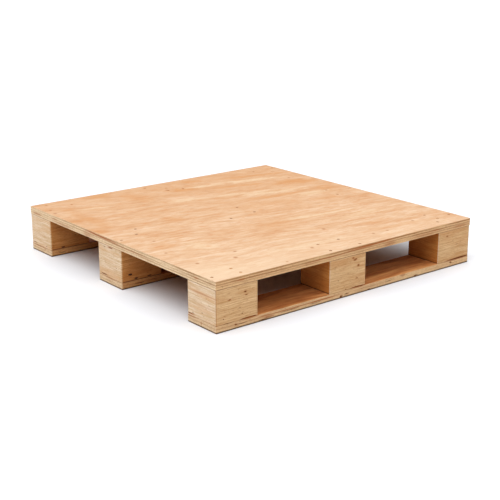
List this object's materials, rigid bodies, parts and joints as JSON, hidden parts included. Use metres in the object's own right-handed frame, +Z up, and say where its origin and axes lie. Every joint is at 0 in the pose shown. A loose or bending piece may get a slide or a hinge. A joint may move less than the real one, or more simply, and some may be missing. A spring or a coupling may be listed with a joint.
{
  "type": "wooden pallet",
  "caption": "Square plywood block pallet: a solid deck sheet nailed to laminated blocks on skids, with fork openings on all sides.",
  "frame": {"origin": "middle of the footprint, on the floor under the skids", "axes": "+Z up, X along the skids, Y across them; the front is the -Y side"},
  "size_m": [1, 1, 0.144],
  "materials": {
    "deck_plywood": "sanded softwood veneer, unfinished",
    "block_plywood": "sawn laminated veneer, unfinished",
    "skid_plywood": "sawn plywood, unfinished",
    "nail_steel": "dull bright-drawn steel"
  },
  "bodies": {
    "root": {"block_back_left": "block_plywood", "block_back_middle": "block_plywood", "block_back_right": "block_plywood", "block_centre": "block_plywood", "block_front_left": "block_plywood", "block_front_middle": "block_plywood", "block_front_right": "block_plywood", "block_middle_left": "block_plywood", "block_middle_right": "block_plywood", "deck": "deck_plywood", "deck_nails_back_left": "nail_steel", "deck_nails_back_middle": "nail_steel", "deck_nails_back_right": "nail_steel", "deck_nails_centre": "nail_steel", "deck_nails_front_left": "nail_steel", "deck_nails_front_middle": "nail_steel", "deck_nails_front_right": "nail_steel", "deck_nails_middle_left": "nail_steel", "deck_nails_middle_right": "nail_steel", "skid_back": "skid_plywood", "skid_front": "skid_plywood", "skid_middle": "skid_plywood", "skid_nails_back_left": "nail_steel", "skid_nails_back_middle": "nail_steel", "skid_nails_back_right": "nail_steel", "skid_nails_centre": "nail_steel", "skid_nails_front_left": "nail_steel", "skid_nails_front_middle": "nail_steel", "skid_nails_front_right": "nail_steel", "skid_nails_middle_left": "nail_steel", "skid_nails_middle_right": "nail_steel"}
  },
  "joints": []
}
